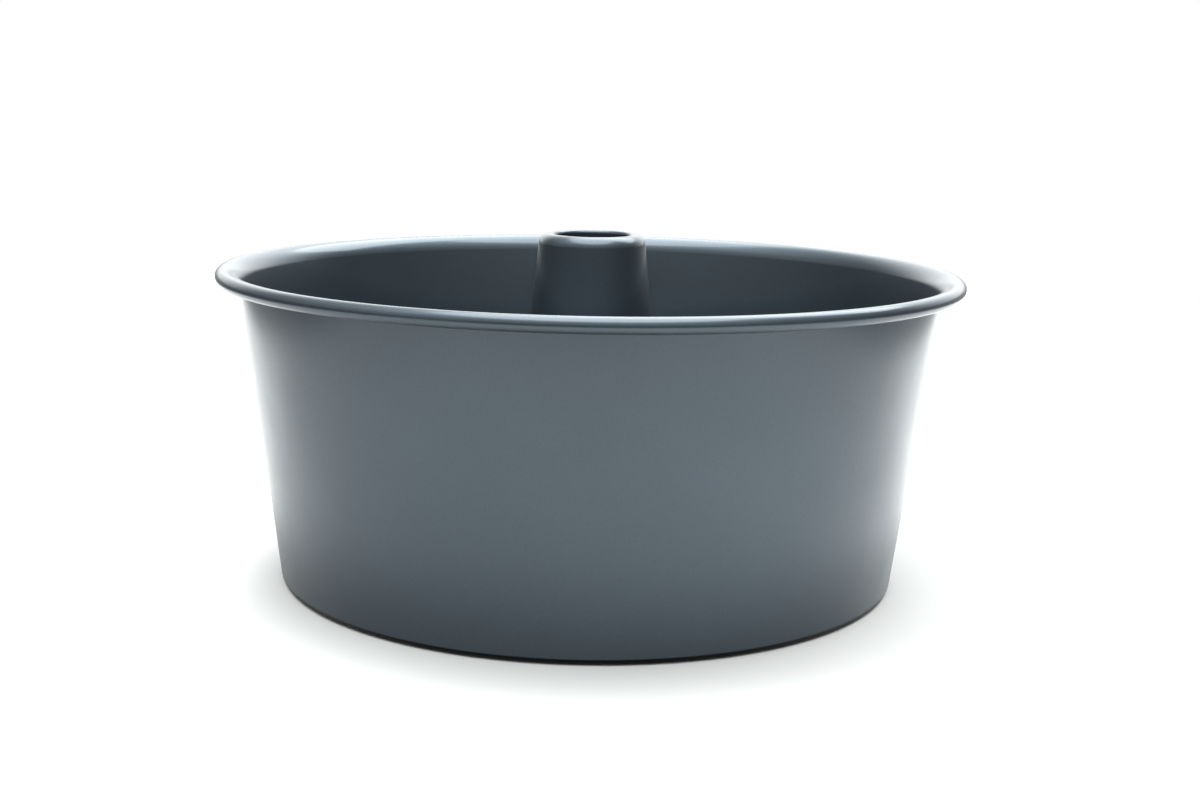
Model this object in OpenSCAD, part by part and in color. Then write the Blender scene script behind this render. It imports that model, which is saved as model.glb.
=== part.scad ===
// Angel food cake pan with a loose bottom: a shell rolled round a rim wire, and an insert made of a
// bottom plate clinched to a centre tube. Millimetres, +Z up, origin on the axis at the bench.
// Every piece is a body of revolution, so each is drawn as a profile: x is the radius and y is the
// height.

/* [Shell] */
// Diameter over the rolled rim
rim_d = 264; // [244:1:284]
// Height from the bench to the crest of the rim
pan_h = 110.5; // [85:0.5:118]
// Diameter at which the straight wall would meet the bench
base_d = 221.4; // [200:0.2:236]
// Thickness of the shell's sheet
shell_t = 0.8; // [0.6:0.1:1.2]
// Outer radius of the bottom corner
corner_r = 2.5; // [1.5:0.1:6]
// Width of the flat ledge that carries the bottom plate
seat_w = 8; // [4:0.5:14]

/* [Rolled rim] */
// Radius of the flare from the wall to the crest, on the food side
flare_r = 6.5; // [5.8:0.1:9]
// Diameter of the wire inside the rim
wire_d = 3.4; // [2.4:0.1:3.6]
// Gap all round between the wire and the rolled sheet
wire_play = 0.1; // [0.05:0.01:0.15]
// Gap between the cut edge of the roll and the flare
roll_gap = 0.3; // [0.2:0.05:0.6]

/* [Bottom plate] */
// Thickness of the plate's sheet
plate_t = 0.8; // [0.7:0.1:1.2]
// Gap between the plate's edge and the end of the flat ledge
plate_play = 0.4; // [0.2:0.1:1.5]
// Height of the plate's raised panel over the ring that lies on the ledge
panel_rise = 2.4; // [1.9:0.1:5]
// Slope of the step between the ring and the panel, in degrees
step_angle = 45; // [30:1:60]
// Inner bend radius of that step
step_r = 1.2; // [0.5:0.1:1.6]
// Flat of the plate's ring that shows inside the ledge, before the step
ring_margin = 1.5; // [0.5:0.5:6]

/* [Centre tube] */
// Height of the tube's crown above the bench
tube_h = 122.5; // [95:0.5:130]
// Outer diameter of the tube's neck in the plate
neck_d = 62; // [54:0.5:80]
// Thickness of the tube's sheet
tube_t = 0.8; // [0.6:0.1:1]
// Diameter of the hole in the crown
hole_d = 27.5; // [20:0.5:34]
// Outer radius where the crown turns down into the hole
lip_r = 1.1; // [1:0.1:2]
// Straight length of the turned-in lip below that radius
lip_len = 4.5; // [2:0.5:10]
// Width of the flat ring on top of the crown
crown_w = 0.3; // [0.1:0.1:3]
// Outer radius of the tube's shoulder
shoulder_r = 4; // [2:0.1:8]

/* [Clinched foot] */
// Inner bend radius where the neck turns over and under the plate
neck_bend = 0.3; // [0.2:0.05:0.35]
// Gap between the neck's bends and the edge of the plate's hole
neck_play = 0.05; // [0.02:0.01:0.2]
// Flat width of the clinch flange under the plate
flange_w = 3; // [1.5:0.5:6]
// Flat width of the folded stop bead above the plate
bead_w = 0.8; // [0.4:0.1:3]
// Inner radius of the fold in the stop bead
fold_r = 0.2; // [0.1:0.05:0.4]
// Radius between the stop bead and the cone, on the food side
foot_r = 0.8; // [0.3:0.1:3]

/* [Hidden] */

coating_colour = "#59636b";
insert_colour = "#4a545d";
wire_colour = "#b9bcbf";

// Facets of a full turn and of the small arcs of a profile
turn_fn = 240;
arc_fn = 96;
// Widest step between the corners of the wedge that cuts a bend out of a ring
wedge_step = 60;
// How far a straight run reaches into the bends at its ends, so that the two fuse
lap = 0.005;

// Rolled rim: the wire, its play and the sheet set the bead's radius. The flare and the bead
// share their crest, so both centres lie on the line below it.
bead_r = wire_d / 2 + wire_play + shell_t;
rim_x = rim_d / 2 - bead_r;
bead_c = [rim_x, pan_h - bead_r];
flare_c = [rim_x, pan_h - flare_r];

// The roll's outer side comes within roll_gap of the flare's underside, which gives the
// direction from the bead's centre to its cut edge
under_r = flare_r - shell_t;
centre_drop = flare_r - bead_r;
cut_rise = (pow(under_r - roll_gap, 2) - pow(bead_r, 2) - pow(centre_drop, 2)) / (2 * centre_drop * bead_r);
roll_from = -180 - asin(cut_rise);

// Wall: its outer side leaves the bench line at base_d and is tangent to the flare's underside
wall_at_bench = [base_d / 2, 0];
to_flare = flare_c - wall_at_bench;
wall_lean = 90 - atan2(to_flare.y, to_flare.x) - asin(under_r / norm(to_flare));
corner_c = [
    base_d / 2 + corner_r * tan(wall_lean) - corner_r / cos(wall_lean),
    corner_r
];
seat_inner_r = corner_c.x - seat_w;

// Bottom plate: the ring lies on the ledge, the panel stands panel_rise higher
ring_z = shell_t;
panel_z = ring_z + panel_rise;
panel_top_z = panel_z + plate_t;
plate_r = corner_c.x - plate_play;
bend_span = 2 * step_r + plate_t;
step_slope_len = (panel_rise - bend_span * (1 - cos(step_angle))) / sin(step_angle);
step_outer_c = [seat_inner_r - ring_margin, ring_z + plate_t + step_r];
step_inner_c = [
    step_outer_c.x - bend_span * sin(step_angle) - step_slope_len * cos(step_angle),
    panel_z - step_r
];

// Clinched foot: both neck bends share one radius line, just inside the plate's hole
neck_r = neck_d / 2;
neck_bend_x = neck_r + neck_bend;
plate_hole_r = neck_bend_x + neck_play;
fold_c = [neck_r + foot_r + bead_w, panel_top_z + tube_t + fold_r];
bead_top_z = fold_c.y + fold_r + tube_t;

// Cone: tangent to the foot's bend on one side and to the shoulder on the other
foot_c = [neck_r + foot_r, bead_top_z + foot_r];
lip_c = [hole_d / 2 + lip_r, tube_h - lip_r];
shoulder_c = [lip_c.x + crown_w, tube_h - shoulder_r];
to_shoulder = shoulder_c - foot_c;
cone_lean = atan2(to_shoulder.y, to_shoulder.x) - asin((shoulder_r + foot_r) / norm(to_shoulder)) - 90;

// Unit vector at an angle
function dir(a) = [cos(a), sin(a)];

// A straight run of sheet from p to q. Its thickness lies to the left of the way from p to q.
module run(p, q, t) {
    way = (q - p) / norm(q - p);
    left = [-way.y, way.x];
    start = p - lap * way;
    end = q + lap * way;
    polygon([start, end, end + t * left, start + t * left]);
}

// A bend of sheet about c, from angle a0 up to a1, with outer radius r
module bend(c, r, t, a0, a1) {
    steps = ceil((a1 - a0) / wedge_step);
    wedge = [for (i = [0 : steps]) 2 * r * dir(a0 + i * (a1 - a0) / steps)];
    translate(c)
        intersection() {
            difference() {
                circle(r = r, $fn = arc_fn);
                circle(r = r - t, $fn = arc_fn);
            }
            polygon(concat([[0, 0]], wedge));
        }
}

// A profile turned into its body
module turned() {
    rotate_extrude($fn = turn_fn)
        children();
}

// Shell: ledge, corner, tapered wall, flare, and the rim rolled outwards and down
module pan_wall() {
    color(coating_colour)
        turned() {
            run([seat_inner_r, 0], [corner_c.x, 0], shell_t);
            bend(corner_c, corner_r, shell_t, -90, -wall_lean);
            run(
                corner_c + corner_r * dir(-wall_lean),
                flare_c + under_r * dir(180 - wall_lean),
                shell_t
            );
            bend(flare_c, flare_r, shell_t, 90, 180 - wall_lean);
            bend(bead_c, bead_r, shell_t, roll_from, 90);
        }
}

// Wire ring that stiffens the rim, closed in by the roll
module rim_wire() {
    color(wire_colour)
        turned()
            translate(bead_c)
                circle(d = wire_d, $fn = arc_fn);
}

// Loose bottom: flat ring on the ledge, step, and raised panel with the hole for the tube
module base_plate() {
    slope = dir(90 - step_angle);
    color(insert_colour)
        turned() {
            run([plate_hole_r, panel_z], [step_inner_c.x, panel_z], plate_t);
            bend(step_inner_c, step_r + plate_t, plate_t, 90 - step_angle, 90);
            run(
                step_inner_c + step_r * slope,
                step_outer_c - (step_r + plate_t) * slope,
                plate_t
            );
            bend(step_outer_c, step_r + plate_t, plate_t, 270 - step_angle, 270);
            run([step_outer_c.x, ring_z], [plate_r, ring_z], plate_t);
        }
}

// Foot of the tube: clinch flange under the plate, neck in its hole, folded stop bead on top
module clinched_foot() {
    neck_outer_bend = neck_bend + tube_t;
    run([neck_bend_x, panel_z - tube_t], [neck_bend_x + flange_w, panel_z - tube_t], tube_t);
    bend([neck_bend_x, panel_z + neck_bend], neck_outer_bend, tube_t, 180, 270);
    run([neck_r, panel_z + neck_bend], [neck_r, panel_top_z - neck_bend], tube_t);
    bend([neck_bend_x, panel_top_z - neck_bend], neck_outer_bend, tube_t, 90, 180);
    run([neck_bend_x, panel_top_z], [fold_c.x, panel_top_z], tube_t);
    bend(fold_c, fold_r + tube_t, tube_t, -90, 90);
    run([foot_c.x, fold_c.y + fold_r], [fold_c.x, fold_c.y + fold_r], tube_t);
}

// Tube: cone on its clinched foot, rounded shoulder, crown, and lip turned into the hole
module centre_tube() {
    cone_out = dir(cone_lean);
    color(insert_colour)
        turned() {
            clinched_foot();
            bend(foot_c, foot_r + tube_t, tube_t, 180 + cone_lean, 270);
            run(foot_c - foot_r * cone_out, shoulder_c + shoulder_r * cone_out, tube_t);
            bend(shoulder_c, shoulder_r, tube_t, cone_lean, 90);
            run([shoulder_c.x, tube_h], [lip_c.x, tube_h], tube_t);
            bend(lip_c, lip_r, tube_t, 90, 180);
            run([hole_d / 2, lip_c.y], [hole_d / 2, lip_c.y - lip_len], tube_t);
        }
}

pan_wall();
rim_wire();
base_plate();
centre_tube();
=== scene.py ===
"""Looks of an angel food cake pan: a coated shell rolled round a rim wire, and a loose insert.

The wall, the plate and the tube are each turned from a strip of bent sheet, which is described as a
path in the plane of radius and height: straight runs and bends of the sheet's middle line. The wire
is turned from a circle. Metres and radians, +Z up, origin on the axis at the bench, as in the
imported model.
"""

import logging
import math
from collections.abc import Sequence
from dataclasses import dataclass, field, replace
from enum import Enum

import bpy
from mathutils import Matrix, Vector


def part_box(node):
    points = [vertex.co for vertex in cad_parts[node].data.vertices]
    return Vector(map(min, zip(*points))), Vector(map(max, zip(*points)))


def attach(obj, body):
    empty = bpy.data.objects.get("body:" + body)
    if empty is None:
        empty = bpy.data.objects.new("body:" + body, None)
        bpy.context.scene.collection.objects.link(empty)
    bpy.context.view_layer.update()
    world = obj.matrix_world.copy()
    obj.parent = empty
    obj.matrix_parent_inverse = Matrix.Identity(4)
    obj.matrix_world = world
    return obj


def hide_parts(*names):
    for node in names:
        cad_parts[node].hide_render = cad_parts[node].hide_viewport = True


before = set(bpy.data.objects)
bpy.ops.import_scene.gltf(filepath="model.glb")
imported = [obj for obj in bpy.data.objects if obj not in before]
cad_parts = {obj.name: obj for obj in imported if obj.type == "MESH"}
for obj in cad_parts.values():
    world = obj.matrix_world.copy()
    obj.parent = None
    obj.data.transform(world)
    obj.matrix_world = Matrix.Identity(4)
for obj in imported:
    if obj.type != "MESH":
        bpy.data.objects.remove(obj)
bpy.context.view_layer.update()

LOG = logging.getLogger("cake_pan")

QUARTER = math.pi / 2
HALF = math.pi
FULL = 2 * math.pi

Colour = tuple[float, float, float]
Factors = tuple[float, float, float]
BLACK: Colour = (0.0, 0.0, 0.0)
WHITE: Colour = (1.0, 1.0, 1.0)

# A noise stays mostly within its range, round its middle.
NOISE_MIDDLE = 0.5
NOISE_RANGE = (0.3, 0.7)
OCTAVE_ROUGHNESS = 0.55
# A shade of one is the plain tone, and a coat's shades stay well under the brightest.
BRIGHTEST_SHADE = 2.0

# The sky is laid out on a level ceiling from just above the horizon.
LOWEST_RISE = 0.001
# The elevations over which the shares of light high up come in.
HIGH_SKY = (math.radians(28), math.radians(50))


class Body(Enum):
    """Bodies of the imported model."""

    SHELL = "shell"
    INSERT = "insert"


class Slot(Enum):
    """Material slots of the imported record."""

    SHELL_COATING = "shell_coating"
    INSERT_COATING = "insert_coating"
    BARE_WIRE = "bare_wire"


@dataclass(frozen=True)
class Value:
    """A shader value that adds one Math node for each operator used on it."""

    nodes: "Nodes"
    socket: bpy.types.NodeSocket | None

    def _math(self, operation: str, *operands: "Value | float") -> "Value":
        """Adds a Math node.

        Args:
            operation: The node's operation.
            operands: Its inputs, in order.

        Returns:
            The node's result.
        """
        inputs = dict(enumerate(operands))
        return self.nodes.add("ShaderNodeMath", {"operation": operation}, inputs)

    def __add__(self, other: "Value | float") -> "Value":
        """Returns the sum."""
        return self._math("ADD", self, other)

    def __radd__(self, other: float) -> "Value":
        """Returns the sum with a number on the left."""
        return self._math("ADD", other, self)

    def __sub__(self, other: "Value | float") -> "Value":
        """Returns the difference."""
        return self._math("SUBTRACT", self, other)

    def __rsub__(self, other: float) -> "Value":
        """Returns the difference from a number."""
        return self._math("SUBTRACT", other, self)

    def __neg__(self) -> "Value":
        """Returns the negative."""
        return self._math("SUBTRACT", 0.0, self)

    def __mul__(self, other: "Value | float") -> "Value":
        """Returns the product."""
        return self._math("MULTIPLY", self, other)

    def __rmul__(self, other: float) -> "Value":
        """Returns the product with a number on the left."""
        return self._math("MULTIPLY", other, self)

    def __truediv__(self, other: "Value | float") -> "Value":
        """Returns the quotient."""
        return self._math("DIVIDE", self, other)

    def most(self, other: "Value | float") -> "Value":
        """Returns the larger of the two."""
        return self._math("MAXIMUM", self, other)

    def angle_to(self, other: "Value | float") -> "Value":
        """Returns the angle whose tangent is this value over the other, by quadrant."""
        return self._math("ARCTAN2", self, other)

    def ramp(self, start: float, end: float, low: float = 0.0, high: float = 1.0) -> "Value":
        """Eases from one number to another while this value crosses a range.

        Args:
            start: Where the change starts.
            end: Where it ends.
            low: The result at the start and before it.
            high: The result at the end and past it.

        Returns:
            The eased result.
        """
        inputs = {
            "Value": self,
            "From Min": start,
            "From Max": end,
            "To Min": low,
            "To Max": high,
        }
        return self.nodes.add("ShaderNodeMapRange", {"interpolation_type": "SMOOTHSTEP"}, inputs)

    def spread(self, middle: float, reach: float) -> "Value":
        """Returns a noise spread over a number, by a reach to either side of it."""
        return self.ramp(*NOISE_RANGE, middle - reach, middle + reach)


@dataclass(frozen=True)
class Nodes:
    """A node tree that is filled by one method."""

    tree: bpy.types.NodeTree

    def add(
        self,
        kind: str,
        settings: dict[str, object] | None = None,
        inputs: "dict[str | int, object] | None" = None,
        output: str | int = 0,
    ) -> Value:
        """Adds a node, sets it and links or fills its inputs.

        Args:
            kind: The node's type.
            settings: Properties, set before the inputs.
            inputs: A link or a constant for each input, by name or number.
            output: The output that is handed back.

        Returns:
            That output, as a value.
        """
        node = self.tree.nodes.new(kind)
        for name, setting in (settings or {}).items():
            setattr(node, name, setting)
        for name, given in (inputs or {}).items():
            if isinstance(given, Value):
                self.tree.links.new(given.socket, node.inputs[name])
            else:
                node.inputs[name].default_value = given
        return Value(self, node.outputs[output] if node.outputs else None)

    def place(self) -> Value:
        """Returns the coordinates on the piece, in metres."""
        return self.add("ShaderNodeTexCoord", output="Object")

    def parts(self, vector: Value) -> tuple[Value, ...]:
        """Returns the three parts of a vector."""
        return tuple(
            self.add("ShaderNodeSeparateXYZ", None, {0: vector}, output=axis) for axis in range(3)
        )

    def stretched(self, place: Value, stretch: Factors) -> Value:
        """Returns the coordinates scaled by a factor on each axis."""
        return self.add("ShaderNodeVectorMath", {"operation": "MULTIPLY"}, {0: place, 1: stretch})

    def noise(self, place: Value, grain: float, detail: float) -> Value:
        """Adds a noise of a given grain.

        Args:
            place: The coordinates it is read at, in metres.
            grain: The width of its grain in metres.
            detail: How many finer octaves it has.

        Returns:
            The noise, around its middle.
        """
        inputs = {
            "Vector": place,
            "Scale": 1 / grain,
            "Detail": detail,
            "Roughness": OCTAVE_ROUGHNESS,
        }
        return self.add("ShaderNodeTexNoise", None, inputs)

    def blend(self, share: Value, first: Colour, second: Colour) -> Value:
        """Mixes two colours.

        Args:
            share: The second colour's share.
            first: The colour at none of it.
            second: The colour at all of it.

        Returns:
            The mixed colour.
        """
        settings = {"data_type": "RGBA"}
        inputs = {0: share, 6: (*first, 1.0), 7: (*second, 1.0)}
        return self.add("ShaderNodeMix", settings, inputs, 2)

    def shaded(self, tone: Colour, shade: Value) -> Value:
        """Darkens or brightens a colour.

        Args:
            tone: The colour at a shade of one.
            shade: The shade, from zero for black up to the brightest.

        Returns:
            The shaded colour.
        """
        brightest = tuple(BRIGHTEST_SHADE * part for part in tone)
        return self.blend(shade / BRIGHTEST_SHADE, BLACK, brightest)


def new_material(name: str) -> tuple[bpy.types.Material, Nodes]:
    """Makes an empty node material.

    Args:
        name: Its name.

    Returns:
        The material and its empty tree.
    """
    material = bpy.data.materials.new(name)
    material.use_nodes = True
    material.node_tree.nodes.clear()
    return material, Nodes(material.node_tree)


@dataclass(frozen=True)
class PaintedFootShade:
    """Painted shade at the turned-under edge on which the shell stands, black and without the clear
    skin.

    Attributes:
        inner_radius: Where the edge starts.
        height: How far it goes up the wall.
        soft: How far it fades at its borders.
    """

    inner_radius: float
    height: float
    soft: float = 0.0003

    def outside_painted_shade(self, nodes: Nodes, place: Value) -> Value:
        """Tells the painted shade at the edge from the rest of the piece.

        Args:
            nodes: The material's tree.
            place: The coordinates on the piece, in metres.

        Returns:
            Zero in the painted shade on the edge and one everywhere else.
        """
        x, y, z = nodes.parts(place)
        outside = (x * x + y * y).ramp(self.inner_radius**2, (self.inner_radius + self.soft) ** 2)
        return 1 - outside * z.ramp(self.height - self.soft, self.height + self.soft, 1.0, 0.0)


@dataclass(frozen=True)
class NonstickCoating:
    """A sprayed grey nonstick coat with fine flake: a clear satin skin and a faint cloudiness.

    Attributes:
        name: The material's name.
        tone: The colour of the coat under its clear skin.
        flake: How metallic the coat is.
        roughness: The coat's roughness under the clear skin.
        roughness_spread: How far the clouds move it to either side.
        base_ior: The refractive index of the coat.
        clear_weight: How much of the clear skin there is.
        clear_roughness: The clear skin's roughness.
        clear_ior: The clear skin's refractive index.
        cloud: The width of the clouds in metres.
        cloud_detail: How many finer octaves the clouds have.
        cloud_contrast: How far the clouds change the shade.
        speck: The width of the specks in metres.
        speck_detail: How many finer octaves the specks have.
        speck_contrast: How far the specks change the shade.
        pebble: The width of the surface's pebbles in metres.
        pebble_detail: How many finer octaves the pebbles have.
        pebble_depth: Their depth in metres.
        foot: The painted shade along the foot, on a piece that has one.
    """

    name: str
    tone: Colour = (0.053, 0.0735, 0.0935)
    flake: float = 0.76
    roughness: float = 0.40
    roughness_spread: float = 0.04
    base_ior: float = 1.45
    clear_weight: float = 0.6
    clear_roughness: float = 0.12
    clear_ior: float = 1.58
    cloud: float = 0.045
    cloud_detail: float = 4.0
    cloud_contrast: float = 0.08
    speck: float = 0.0007
    speck_detail: float = 1.0
    speck_contrast: float = 0.24
    pebble: float = 0.0011
    pebble_detail: float = 2.0
    pebble_depth: float = 0.000010
    foot: PaintedFootShade | None = None

    def material(self) -> bpy.types.Material:
        """Builds the coat's material.

        Returns:
            The finished material.
        """
        material, nodes = new_material(self.name)
        place = nodes.place()
        clouds = nodes.noise(place, self.cloud, self.cloud_detail)
        specks = nodes.noise(place, self.speck, self.speck_detail)
        pebbles = nodes.noise(place, self.pebble, self.pebble_detail)
        clouding = (clouds - NOISE_MIDDLE) * self.cloud_contrast
        shade = clouding + (specks - NOISE_MIDDLE) * self.speck_contrast + 1
        clear = self.clear_weight
        # Paints shade along the foot: the coat goes black there and loses its clear skin.
        if self.foot:
            off_painted_shade = self.foot.outside_painted_shade(nodes, place)
            shade, clear = shade * off_painted_shade, off_painted_shade * self.clear_weight
        bump = {"Height": pebbles, "Distance": self.pebble_depth, "Strength": 1.0}
        shader = nodes.add(
            "ShaderNodeBsdfPrincipled",
            None,
            {
                "Base Color": nodes.shaded(self.tone, shade),
                "Metallic": self.flake,
                "Roughness": clouds.spread(self.roughness, self.roughness_spread),
                "IOR": self.base_ior,
                "Coat Weight": clear,
                "Coat Roughness": self.clear_roughness,
                "Coat IOR": self.clear_ior,
                "Normal": nodes.add("ShaderNodeBump", None, bump),
            },
        )
        nodes.add("ShaderNodeOutputMaterial", None, {"Surface": shader})
        return material


@dataclass(frozen=True)
class DrawnWire:
    """Bare steel wire with fine draw lines along its length.

    Attributes:
        name: The material's name.
        tone: The steel's colour.
        worn_tone: Its colour in the draw lines.
        roughness: The steel's roughness.
        roughness_spread: How far the draw lines move it to either side.
        line: The width in metres of the noise that is stretched to lines.
        line_stretch: The noise's scale on each axis, small in the ring's plane and large in height.
        line_detail: How many finer octaves the lines have.
    """

    name: str
    tone: Colour = (0.58, 0.57, 0.55)
    worn_tone: Colour = (0.42, 0.41, 0.40)
    roughness: float = 0.3
    roughness_spread: float = 0.08
    line: float = 0.0006
    line_stretch: Factors = (0.1, 0.1, 4.0)
    line_detail: float = 3.0

    def material(self) -> bpy.types.Material:
        """Builds the wire's material.

        Returns:
            The finished material.
        """
        material, nodes = new_material(self.name)
        place = nodes.stretched(nodes.place(), self.line_stretch)
        lines = nodes.noise(place, self.line, self.line_detail)
        shader = nodes.add(
            "ShaderNodeBsdfPrincipled",
            None,
            {
                "Base Color": nodes.blend(lines, self.tone, self.worn_tone),
                "Metallic": 1.0,
                "Roughness": lines.spread(self.roughness, self.roughness_spread),
            },
        )
        nodes.add("ShaderNodeOutputMaterial", None, {"Surface": shader})
        return material


@dataclass(frozen=True)
class Stretch:
    """A stretch of the sheet's middle line, straight or bent. A left bend turns by more than zero."""

    length: float
    turn: float = 0.0

    def share(self, part: float) -> "Stretch":
        """Returns the first part of the stretch, as a share of its length."""
        return Stretch(self.length * part, self.turn * part)


def bend(radius: float, turn: float) -> Stretch:
    """Returns the stretch that bends by an angle about a radius of the middle line."""
    return Stretch(abs(turn) * radius, turn)


@dataclass(frozen=True)
class Stance:
    """A point of the middle line in the plane of radius and height, and the way it heads."""

    radius: float
    height: float
    heading: float

    def after(self, stretch: Stretch) -> "Stance":
        """Walks along a stretch.

        Args:
            stretch: What is walked.

        Returns:
            The stance at its end.
        """
        half_turn = stretch.turn / 2
        chord = stretch.length * (math.sin(half_turn) / half_turn if half_turn else 1.0)
        way = self.heading + half_turn
        return Stance(
            self.radius + chord * math.cos(way),
            self.height + chord * math.sin(way),
            self.heading + stretch.turn,
        )

    def side(self, offset: float, normal_turn: float = QUARTER) -> "OutlinePoint":
        """Steps off the line to one side.

        Args:
            offset: How far off.
            normal_turn: The way, turned from the heading, and to the left unless it is given.

        Returns:
            The point there, with the way as its normal.
        """
        way = self.heading + normal_turn
        return OutlinePoint(
            self.radius + offset * math.cos(way),
            self.height + offset * math.sin(way),
            math.cos(way),
            math.sin(way),
        )


@dataclass(frozen=True)
class OutlinePoint:
    """A point of a closed outline, and the outward normal there."""

    radius: float
    height: float
    normal_radius: float
    normal_height: float


@dataclass
class SheetStrip:
    """A strip of sheet of even thickness, bent along a path, with its cut edges slightly rounded.

    Attributes:
        start: Where the middle line starts.
        thickness: The sheet's thickness.
        path: The stretches of the middle line, in order.
        edge_radius: The rounding of the cut edges.
        bend_step: The widest angle of one facet of a bend.
        edge_steps: How many facets round a cut edge's corner.
    """

    start: Stance
    thickness: float
    path: Sequence[Stretch]
    edge_radius: float = 0.0001
    bend_step: float = math.radians(5)
    edge_steps: int = 3

    def outline(self) -> list[OutlinePoint]:
        """Works out the closed outline of the strip's cross-section.

        Returns:
            The outline's points, along one side and back along the other.
        """
        line = self._middle_line()
        half = self.thickness / 2
        there = [stance.side(half) for stance in line]
        back = [stance.side(half, -QUARTER) for stance in reversed(line)]
        end = self._cut_edge(line[-1], 1)
        begin = self._cut_edge(line[0], -1)
        return there + end + back + begin

    def _middle_line(self) -> list[Stance]:
        """Walks the path, short of both its ends by one edge radius.

        Returns:
            The stances along it.
        """
        first, last = self.path[0], self.path[-1]
        stance = self.start.after(first.share(self.edge_radius / first.length))
        path = list(self.path)
        path[0] = first.share(1 - self.edge_radius / first.length)
        path[-1] = last.share(1 - self.edge_radius / last.length)
        line = [stance]
        for stretch in path:
            steps = max(1, math.ceil(abs(stretch.turn) / self.bend_step))
            line += [stance.after(stretch.share(i / steps)) for i in range(1, steps + 1)]
            stance = line[-1]
        return line

    def _cut_edge(self, stance: Stance, way: int) -> list[OutlinePoint]:
        """Rounds the two corners of a cut edge.

        Args:
            stance: The last stance of the middle line on this side.
            way: 1 at the end of the strip and -1 at its start.

        Returns:
            The points between the two sides.
        """
        inset = self.thickness / 2 - self.edge_radius
        points = []
        for corner, side in enumerate((way, -way)):
            centre = stance.side(inset, side * QUARTER)
            for i in range(self.edge_steps + 1):
                swing = (corner + i / self.edge_steps) * QUARTER
                normal = stance.heading + way * QUARTER - swing
                points.append(
                    OutlinePoint(
                        centre.radius + self.edge_radius * math.cos(normal),
                        centre.height + self.edge_radius * math.sin(normal),
                        math.cos(normal),
                        math.sin(normal),
                    )
                )
        return points[1:-1]


@dataclass(frozen=True)
class Lathe:
    """Turns outlines about the axis into smooth meshes with exact normals."""

    steps: int = 288

    def turn(self, name: str, outline: Sequence[OutlinePoint]) -> bpy.types.Object:
        """Turns an outline into a piece.

        Args:
            name: The piece's name.
            outline: Its closed cross-section.

        Returns:
            The new object.
        """
        count = len(outline)
        places, normals = [], []
        for i in range(self.steps):
            cosine, sine = math.cos(FULL * i / self.steps), math.sin(FULL * i / self.steps)
            for point in outline:
                places.append((point.radius * cosine, point.radius * sine, point.height))
                normals.append(
                    (point.normal_radius * cosine, point.normal_radius * sine, point.normal_height)
                )
        faces = []
        for i in range(self.steps):
            here, beyond = i * count, (i + 1) % self.steps * count
            for j in range(count):
                k = (j + 1) % count
                faces.append((here + j, here + k, beyond + k, beyond + j))
        mesh = bpy.data.meshes.new(name)
        mesh.from_pydata(places, [], faces)
        mesh.update()
        mesh.polygons.foreach_set("use_smooth", [True] * len(faces))
        mesh.normals_split_custom_set_from_vertices(normals)
        piece = bpy.data.objects.new(name, mesh)
        bpy.context.scene.collection.objects.link(piece)
        return piece


def dress(
    piece: bpy.types.Object, node: str, body: Body, material: bpy.types.Material
) -> bpy.types.Object:
    """Gives a piece its material, its body and the node that it stands for.

    Args:
        piece: The piece.
        node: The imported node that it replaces.
        body: The body it rides on.
        material: Its material.

    Returns:
        The same piece.
    """
    piece.data.materials.append(material)
    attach(piece, body.value)
    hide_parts(node)
    return piece


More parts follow.
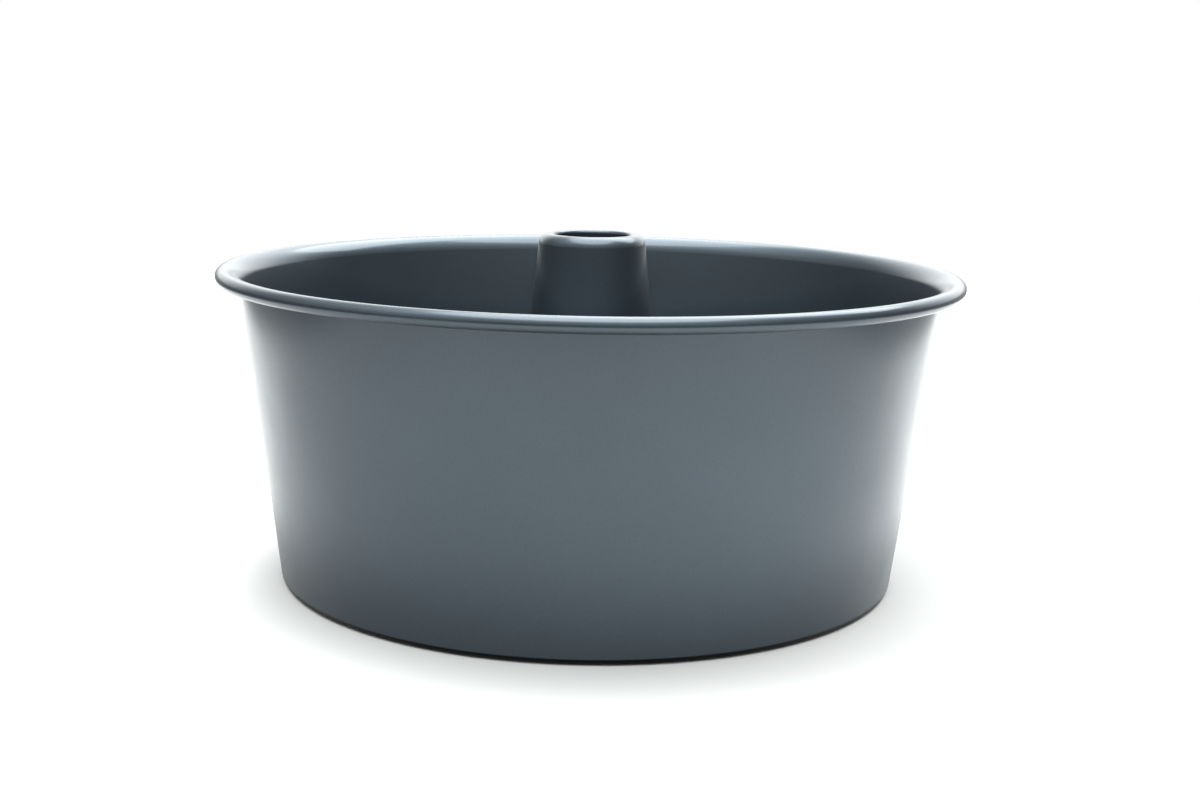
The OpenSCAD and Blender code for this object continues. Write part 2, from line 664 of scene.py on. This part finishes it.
@dataclass
class Shell:
    """The shell: a drawn wall with a ledge, flared and rolled round a wire at the rim.

    Attributes:
        lathe: What turns the pieces.
        coating: The wall's finish.
        wire_finish: The wire's finish.
        sheet: The wall's thickness.
        base_radius: Where the wall's outside, if it had no corner, would meet the bench.
        corner_radius: The outer radius of the bottom corner.
        painted_foot_shade_height: How far the painted shade at the foot goes up the wall.
        seat_width: The flat width of the ledge that carries the insert.
        flare_radius: The radius of the flare on its upper side.
        wire_play: The gap between the wire and the roll.
        roll_gap: The gap that the roll leaves under the flare.
        wire_steps: How many facets go round the wire's section.
        pieces: What has been built.
    """

    lathe: Lathe
    coating: NonstickCoating = NonstickCoating("nonstick_shell")
    wire_finish: DrawnWire = DrawnWire("drawn_steel")
    sheet: float = 0.0008
    base_radius: float = 0.1107
    corner_radius: float = 0.0025
    painted_foot_shade_height: float = 0.0020
    seat_width: float = 0.008
    flare_radius: float = 0.0065
    wire_play: float = 0.0001
    roll_gap: float = 0.0003
    wire_steps: int = 32
    pieces: list[bpy.types.Object] = field(default_factory=list)

    def __post_init__(self) -> None:
        """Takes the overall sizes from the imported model."""
        wall_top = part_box("pan_wall")[1]
        wire_low, wire_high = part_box("rim_wire")
        self.rim_radius = wall_top.x
        self.height = wall_top.z
        self.wire_radius = (wire_high.z - wire_low.z) / 2
        self.bead_radius = self.wire_radius + self.wire_play + self.sheet
        self.rim_line = self.rim_radius - self.bead_radius

    def wall_strip(self) -> SheetStrip:
        """Bends the sheet from the ledge up to the cut edge of the roll.

        Returns:
            The wall's strip.
        """
        half = self.sheet / 2
        under_radius = self.flare_radius - self.sheet
        across = self.rim_line - self.base_radius
        up = self.height - self.flare_radius
        reach = math.hypot(across, up)
        lean = QUARTER - math.atan2(up, across) - math.asin(under_radius / reach)
        corner_shift = self.corner_radius * (math.tan(lean) - 1 / math.cos(lean))
        corner_line = self.base_radius + corner_shift
        wall_foot = self.corner_radius * (1 - math.sin(lean))
        tangent = math.sqrt(reach**2 - under_radius**2)
        wall_length = tangent - wall_foot / math.cos(lean)
        rise = self.flare_radius - self.bead_radius
        gap_radius = under_radius - self.roll_gap
        cut_sine = (gap_radius**2 - self.bead_radius**2 - rise**2) / (2 * rise * self.bead_radius)
        return SheetStrip(
            Stance(corner_line - self.seat_width, half, 0.0),
            self.sheet,
            [
                Stretch(self.seat_width),
                bend(self.corner_radius - half, QUARTER - lean),
                Stretch(wall_length),
                bend(self.flare_radius - half, lean - QUARTER),
                bend(self.bead_radius - half, -(3 * QUARTER + math.asin(cut_sine))),
            ],
        )

    def wire_outline(self) -> list[OutlinePoint]:
        """Draws the wire's round section, clockwise as the strips are.

        Returns:
            The points of its outline.
        """
        centre = Stance(self.rim_line, self.height - self.bead_radius, 0.0)
        return [
            centre.side(self.wire_radius, -FULL * i / self.wire_steps)
            for i in range(self.wire_steps)
        ]

    def build(self) -> None:
        """Builds and dresses the wall and the wire."""
        wall = self.lathe.turn("shell_wall", self.wall_strip().outline())
        # The painted shade along the foot.
        foot = PaintedFootShade(self.base_radius - self.corner_radius, self.painted_foot_shade_height)
        coat = replace(self.coating, foot=foot).material()
        self.pieces.append(dress(wall, "pan_wall", Body.SHELL, coat))
        wire = self.lathe.turn("shell_rim_wire", self.wire_outline())
        steel = self.wire_finish.material()
        self.pieces.append(dress(wire, "rim_wire", Body.SHELL, steel))


@dataclass
class Insert:
    """The insert: a loose bottom plate with the centre tube clinched into it.

    Attributes:
        lathe: What turns the pieces.
        coating: The finish of both, darker than the shell's as in the photo.
        plate_sheet: The plate's thickness.
        panel_rise: How far the plate's panel stands above the ring round it.
        step_angle: The slope of the step between them.
        step_radius: The inner radius of the step's two bends.
        ring_flat: The flat width of the ring that lies on the ledge.
        tube_sheet: The tube's thickness.
        neck_radius: The outer radius of the neck that passes through the plate.
        hole_radius: The radius of the hole in the crown.
        lip_radius: The outer radius of the bend that turns the lip in.
        lip_length: The straight length of the lip.
        crown_width: The flat width of the crown.
        shoulder_radius: The outer radius of the shoulder.
        neck_bend: The inner radius of the neck's two bends, above and below the plate.
        neck_play: The gap between those bends and the hole in the plate.
        flange_width: The flat width of the clinch flange.
        bead_width: The flat width of the stop bead's upper leaf.
        fold_radius: The inner radius of the stop bead's fold.
        foot_radius: The inner radius of the bend from the stop bead up into the tube.
        pieces: What has been built.
    """

    lathe: Lathe
    coating: NonstickCoating = NonstickCoating(
        "nonstick_insert", tone=(0.036, 0.053, 0.071), clear_roughness=0.2
    )
    plate_sheet: float = 0.0008
    panel_rise: float = 0.0024
    step_angle: float = math.radians(45)
    step_radius: float = 0.0012
    ring_flat: float = 0.00910
    tube_sheet: float = 0.0008
    neck_radius: float = 0.031
    hole_radius: float = 0.01375
    lip_radius: float = 0.0011
    lip_length: float = 0.0045
    crown_width: float = 0.0003
    shoulder_radius: float = 0.004
    neck_bend: float = 0.0003
    neck_play: float = 0.00005
    flange_width: float = 0.003
    bead_width: float = 0.0008
    fold_radius: float = 0.0002
    foot_radius: float = 0.0008
    pieces: list[bpy.types.Object] = field(default_factory=list)

    def __post_init__(self) -> None:
        """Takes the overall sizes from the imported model."""
        plate_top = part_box("base_plate")[1]
        self.plate_radius = plate_top.x
        self.panel_top = plate_top.z
        self.tube_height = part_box("centre_tube")[1].z

    def plate_strip(self) -> SheetStrip:
        """Bends the sheet from the hole for the tube out to the ring that lies on the ledge.

        Returns:
            The plate's strip.
        """
        half = self.plate_sheet / 2
        middle_radius = self.step_radius + half
        sine, cosine = math.sin(self.step_angle), math.cos(self.step_angle)
        slope = (self.panel_rise - 2 * middle_radius * (1 - cosine)) / sine
        step_span = 2 * middle_radius * sine + slope * cosine
        hole = self.neck_radius + self.neck_bend + self.neck_play
        panel = self.plate_radius - self.ring_flat - step_span - hole
        return SheetStrip(
            Stance(hole, self.panel_top - half, 0.0),
            self.plate_sheet,
            [
                Stretch(panel),
                bend(middle_radius, -self.step_angle),
                Stretch(slope),
                bend(middle_radius, self.step_angle),
                Stretch(self.ring_flat),
            ],
        )

    def tube_strip(self) -> SheetStrip:
        """Bends the sheet from the clinch flange up to the end of the lip in the crown.

        Returns:
            The tube's strip.
        """
        half = self.tube_sheet / 2
        bead_top = self.panel_top + 2 * (self.tube_sheet + self.fold_radius)
        foot_line = self.neck_radius + self.foot_radius
        foot_centre = bead_top + self.foot_radius
        shoulder_line = self.hole_radius + self.lip_radius + self.crown_width
        shoulder_centre = self.tube_height - self.shoulder_radius
        across, up = shoulder_line - foot_line, shoulder_centre - foot_centre
        reach = math.hypot(across, up)
        both = self.foot_radius + self.shoulder_radius
        lean = math.atan2(up, across) - math.asin(both / reach) - QUARTER
        neck_half = self.neck_bend + half
        return SheetStrip(
            Stance(
                self.neck_radius + self.neck_bend + self.flange_width,
                self.panel_top - self.plate_sheet - half,
                HALF,
            ),
            self.tube_sheet,
            [
                Stretch(self.flange_width),
                bend(neck_half, -QUARTER),
                Stretch(self.plate_sheet - 2 * self.neck_bend),
                bend(neck_half, -QUARTER),
                Stretch(self.foot_radius + self.bead_width - self.neck_bend),
                bend(self.fold_radius + half, HALF),
                Stretch(self.bead_width),
                bend(self.foot_radius + half, lean - QUARTER),
                Stretch(math.sqrt(reach**2 - both**2)),
                bend(self.shoulder_radius - half, QUARTER - lean),
                Stretch(self.crown_width),
                bend(self.lip_radius - half, QUARTER),
                Stretch(self.lip_length),
            ],
        )

    def build(self) -> None:
        """Builds and dresses the plate and the tube."""
        coat = self.coating.material()
        plate = self.lathe.turn("insert_plate", self.plate_strip().outline())
        self.pieces.append(dress(plate, "base_plate", Body.INSERT, coat))
        tube = self.lathe.turn("insert_tube", self.tube_strip().outline())
        self.pieces.append(dress(tube, "centre_tube", Body.INSERT, coat))


@dataclass(frozen=True)
class Bench:
    """A matt white bench with a painted shadow round the pan's foot.

    The pan in the photo mirrors a darker bench than the one that shows, so what the gloss and the
    bounced light meet is dimmed by itself, also to the left, in front and far out to the sides.

    Attributes:
        right: How far it reaches to either side.
        front: How far it reaches to the front.
        back: How far it reaches to the back.
        drop: How far it lies under the pan, so that the two don't share a plane.
        tone: Its colour.
        foot_from: The radius inside which it is dimmest.
        foot_to: The radius from which on it isn't dimmed.
        foot_share: The light that it keeps at the foot.
        foot_right: How far the dimmed ring lies to the right.
        gloss_foot_share: The light that it keeps at the foot in the gloss.
        gloss_left_share: The light that it keeps at its left edge in the gloss.
        gloss_front_share: The light that it keeps in front in the gloss.
        gloss_front_to: How far behind the axis the front's dimming ends.
        gloss_far_share: The light that it keeps far out in the gloss.
        gloss_far_from: Where that dimming starts to either side.
        gloss_far_to: Where it ends.
    """

    right: float = 0.5
    front: float = 0.42
    back: float = 0.9
    drop: float = 0.0002
    tone: Colour = (0.79, 0.79, 0.79)
    foot_from: float = 0.11
    foot_to: float = 0.18
    foot_share: float = 0.64
    foot_right: float = 0.03
    gloss_foot_share: float = 0.68
    gloss_left_share: float = 0.76
    gloss_front_share: float = 0.79
    gloss_front_to: float = 0.15
    gloss_far_share: float = 0.15
    gloss_far_from: float = 0.36
    gloss_far_to: float = 0.46

    def painted_foot_shadow(self, x: Value, y: Value, share: float) -> Value:
        """Returns the light kept in the painted shadow round the pan's foot, down to a share at the
        foot itself.
        """
        return (x * x + y * y).ramp(self.foot_from**2, self.foot_to**2, share, 1.0)

    def painted_gloss_shade(self, x: Value, y: Value) -> Value:
        """Works out the light kept in the gloss, a painted shade that only the gloss and the bounced
        light see.

        Args:
            x: The place on the bench, to the right.
            y: The place on the bench, to the back.

        Returns:
            The share of light there.
        """
        across = x.ramp(-self.right, self.right, self.gloss_left_share, 1.0)
        far = (x * x).ramp(self.gloss_far_from**2, self.gloss_far_to**2, 1.0, self.gloss_far_share)
        front = y.ramp(0.0, self.gloss_front_to, self.gloss_front_share, 1.0)
        return self.painted_foot_shadow(x, y, self.gloss_foot_share) * (across * far * front)

    def material(self) -> bpy.types.Material:
        """Builds the bench's matt paint, with its painted shadow and painted shade.

        Returns:
            The finished material.
        """
        material, nodes = new_material("bench_white_painted_shade")
        x, y = nodes.parts(nodes.place())[:2]
        seen = nodes.add("ShaderNodeLightPath", output="Is Camera Ray")
        # Painted shadow round the foot where the camera sees the bench, and painted shade where the
        # gloss and the bounced light meet it.
        shown_painted_shadow = self.painted_foot_shadow(x - self.foot_right, y, self.foot_share)
        share = seen * shown_painted_shadow + (1 - seen) * self.painted_gloss_shade(x, y)
        colour = nodes.blend(share, BLACK, self.tone)
        shader = nodes.add("ShaderNodeBsdfDiffuse", None, {"Color": colour})
        nodes.add("ShaderNodeOutputMaterial", None, {"Surface": shader})
        return material

    def build(self) -> None:
        """Lays the bench."""
        corners = (
            (-self.right, -self.front),
            (self.right, -self.front),
            (self.right, self.back),
            (-self.right, self.back),
        )
        mesh = bpy.data.meshes.new("bench")
        mesh.from_pydata([(x, y, -self.drop) for x, y in corners], [], [(0, 1, 2, 3)])
        mesh.materials.append(self.material())
        bench = bpy.data.objects.new("bench", mesh)
        bpy.context.scene.collection.objects.link(bench)


@dataclass(frozen=True)
class SkyView:
    """A direction of the sky, split for painting light by direction.

    Attributes:
        azimuth: The angle from the front round to the right.
        rise: The sine of the elevation.
        sideways: How far to the right it meets a level ceiling one unit above.
        forwards: How far to the front it meets that ceiling.
    """

    azimuth: Value
    rise: Value
    sideways: Value
    forwards: Value

    @classmethod
    def of(cls, nodes: Nodes) -> "SkyView":
        """Splits the direction in which a ray leaves.

        Args:
            nodes: The world's tree.

        Returns:
            The direction.
        """
        x, y, z = nodes.parts(nodes.add("ShaderNodeTexCoord", output="Generated"))
        height = z.most(LOWEST_RISE)
        return cls(x.angle_to(-y), z, x / height, -y / height)

    def aside(self, left: float) -> Value:
        """Returns the angle to either side of a heading that lies left of the front."""
        turned = self.azimuth + left
        return turned.most(-turned)

    def climb(self, start: float, end: float, low: float, high: float) -> Value:
        """Eases from one number to another while the elevation crosses a range."""
        return self.rise.ramp(math.sin(start), math.sin(end), low, high)


@dataclass(frozen=True)
class OverheadBox:
    """A large round soft box overhead, a little to the front.

    Attributes:
        strength: Its light.
        forwards: How far to the front its middle lies, on a ceiling one unit above.
        radius: Its radius there.
        soft: How far its edge fades to either side.
    """

    strength: float = 6.2
    forwards: float = 0.25
    radius: float = 0.56
    soft: float = 0.08

    def light(self, view: SkyView) -> Value:
        """Works out its light.

        Args:
            view: A direction of the sky.

        Returns:
            The light from there.
        """
        front = view.forwards - self.forwards
        off_middle = view.sideways * view.sideways + front * front
        inner, outer = self.radius - self.soft, self.radius + self.soft
        return off_middle.ramp(inner**2, outer**2, self.strength, 0.0)


@dataclass(frozen=True)
class BackBox:
    """A straight-edged soft box behind the pan.

    Attributes:
        strength: Its light.
        left: Where its left edge passes the axis, on a ceiling one unit above, less than zero
            on the left.
        left_slant: How far that edge moves to the right for each unit to the back.
        front_slant: How far its front edge moves to the back for each unit to the right.
        edge_soft: How far both edges fade to either side.
        foot: The elevation of its lower edge.
        foot_soft: How far that edge fades up and down.
    """

    strength: float = 6.5
    left: float = -0.52
    left_slant: float = 0.35
    front_slant: float = 0.30
    edge_soft: float = 0.08
    foot: float = math.radians(33)
    foot_soft: float = 0.04

    def light(self, view: SkyView) -> Value:
        """Works out its light.

        Args:
            view: A direction of the sky.

        Returns:
            The light from there.
        """
        past_left = view.sideways + view.forwards * self.left_slant - self.left
        past_front = -view.forwards - view.sideways * self.front_slant
        edges = past_left.ramp(-self.edge_soft, self.edge_soft) * past_front.ramp(
            -self.edge_soft, self.edge_soft
        )
        low, high = self.foot - self.foot_soft, self.foot + self.foot_soft
        return edges * view.climb(low, high, 0.0, self.strength)


@dataclass(frozen=True)
class RoomLight:
    """The dim light of the room, brightest in front, dim near the horizon and bright high up.

    Attributes:
        front: Its light in front.
        sides: Its light to the sides and behind.
        left: How far to the left of the front its middle lies.
        sides_from: The angle to either side at which it starts to fade.
        sides_to: The angle at which it has faded.
        low_share: The share of it near the horizon.
        low_from: The elevation up to which that holds.
        low_to: The elevation at which the share has gone up to one.
        high_share: The share of it high up.
    """

    front: float = 0.85
    sides: float = 0.45
    left: float = math.radians(25)
    sides_from: float = math.radians(45)
    sides_to: float = math.radians(100)
    low_share: float = 0.12
    low_from: float = math.radians(2)
    low_to: float = math.radians(14)
    high_share: float = 2.0

    def light(self, view: SkyView) -> Value:
        """Works out its light.

        Args:
            view: A direction of the sky.

        Returns:
            The light from there.
        """
        round_about = view.aside(self.left).ramp(
            self.sides_from, self.sides_to, self.front, self.sides
        )
        low = view.climb(self.low_from, self.low_to, self.low_share, 1.0)
        return round_about * low * view.climb(*HIGH_SKY, 1.0, self.high_share)


@dataclass(frozen=True)
class SweepGlow:
    """The glow of the white sweep behind the pan, dimmer near the horizon and high up.

    Attributes:
        strength: Its light.
        right: How far to the right of the back its middle lies.
        sides_from: The angle from the opposite of its middle at which it starts to glow.
        sides_to: The angle from there at which it glows in full.
        low_share: The share of it at the horizon.
        low_to: The elevation at which the share has gone up to one.
        high_share: The share of it high up.
    """

    strength: float = 2.2
    right: float = math.radians(7)
    sides_from: float = math.radians(97)
    sides_to: float = math.radians(165)
    low_share: float = 0.2
    low_to: float = math.radians(8)
    high_share: float = 0.3

    def light(self, view: SkyView) -> Value:
        """Works out its light.

        Args:
            view: A direction of the sky.

        Returns:
            The light from there.
        """
        glow = view.aside(self.right).ramp(self.sides_from, self.sides_to, 0.0, self.strength)
        low = view.climb(0.0, self.low_to, self.low_share, 1.0)
        return glow * low * view.climb(*HIGH_SKY, 1.0, self.high_share)


@dataclass(frozen=True)
class PaintedSky:
    """Soft studio light, painted on the sky. The camera sees it as plain white.

    Attributes:
        overhead: The box overhead.
        behind: The box behind the pan.
        room: The light of the room.
        sweep: The glow of the sweep.
        tone: The colour of all of it.
        seam: The rise over which both boxes come in above the horizon.
        below: The light from below the bench, and the least from anywhere.
    """

    overhead: OverheadBox = OverheadBox()
    behind: BackBox = BackBox()
    room: RoomLight = RoomLight()
    sweep: SweepGlow = SweepGlow()
    tone: Colour = (0.975, 1.0, 0.99)
    seam: float = 0.05
    below: float = 0.15

    def light(self, view: SkyView) -> Value:
        """Works out the brightest light in a direction.

        Args:
            view: A direction of the sky.

        Returns:
            The light from there.
        """
        boxes = self.overhead.light(view).most(self.behind.light(view))
        surroundings = self.room.light(view).most(self.sweep.light(view)).most(self.below)
        return (boxes * view.rise.ramp(0.0, self.seam)).most(surroundings)

    def build(self) -> None:
        """Makes the sky the scene's world."""
        world = bpy.data.worlds.new("studio")
        world.use_nodes = True
        world.node_tree.nodes.clear()
        bpy.context.scene.world = world
        nodes = Nodes(world.node_tree)
        seen = nodes.add("ShaderNodeLightPath", output="Is Camera Ray")
        sky = nodes.add(
            "ShaderNodeBackground",
            None,
            {
                "Color": nodes.blend(seen, self.tone, WHITE),
                "Strength": seen + (1 - seen) * self.light(SkyView.of(nodes)),
            },
        )
        nodes.add("ShaderNodeOutputWorld", None, {"Surface": sky})


@dataclass
class Studio:
    """The bench under its light."""

    bench: Bench = Bench()
    sky: PaintedSky = PaintedSky()

    def build(self) -> None:
        """Lays the bench, lights it and sets a plain view of the colours."""
        self.bench.build()
        self.sky.build()
        bpy.context.scene.view_settings.view_transform = "Standard"
        LOG.info("studio built")


@dataclass
class PhotoCamera:
    """A camera at the photograph's viewing angle.

    Attributes:
        distance: How far it stands in front of the pan's axis.
        height: How high it stands above the bench.
        pitch: How far it looks down.
        yaw: How far it looks to the right.
        roll: How far it leans to the left.
        lens: The lens in millimetres.
        sensor: The sensor's width in millimetres.
        near: The nearest that it sees.
        far: The farthest that it sees.
    """

    distance: float = 0.59677
    height: float = 0.17503
    pitch: float = 0.18723
    yaw: float = 0.00664
    roll: float = 0.02029
    lens: float = 50.0
    sensor: float = 36.0
    near: float = 0.01
    far: float = 50.0

    def build(self) -> None:
        """Places the camera and makes it the scene's own."""
        forward = Vector(
            (
                math.sin(self.yaw) * math.cos(self.pitch),
                math.cos(self.yaw) * math.cos(self.pitch),
                -math.sin(self.pitch),
            )
        )
        level_right = Vector((math.cos(self.yaw), -math.sin(self.yaw), 0.0))
        level_up = level_right.cross(forward)
        right = math.cos(self.roll) * level_right + math.sin(self.roll) * level_up
        up = math.cos(self.roll) * level_up - math.sin(self.roll) * level_right
        data = bpy.data.cameras.new("camera")
        data.lens = self.lens
        data.sensor_width = self.sensor
        data.clip_start = self.near
        data.clip_end = self.far
        camera = bpy.data.objects.new("camera", data)
        turned = Matrix((right, up, -forward)).transposed().to_4x4()
        camera.matrix_world = Matrix.Translation((0.0, -self.distance, self.height)) @ turned
        bpy.context.scene.collection.objects.link(camera)
        bpy.context.scene.camera = camera


def main() -> None:
    """Builds the camera, the pan and the studio, and reports each piece of the pan."""
    logging.basicConfig(level=logging.INFO, format="%(name)s: %(message)s")
    PhotoCamera().build()
    lathe = Lathe()
    for assembly in (Shell(lathe), Insert(lathe)):
        assembly.build()
        for piece in assembly.pieces:
            LOG.info("%s: %d faces", piece.name, len(piece.data.polygons))
    Studio().build()


if __name__ == "__main__":
    main()
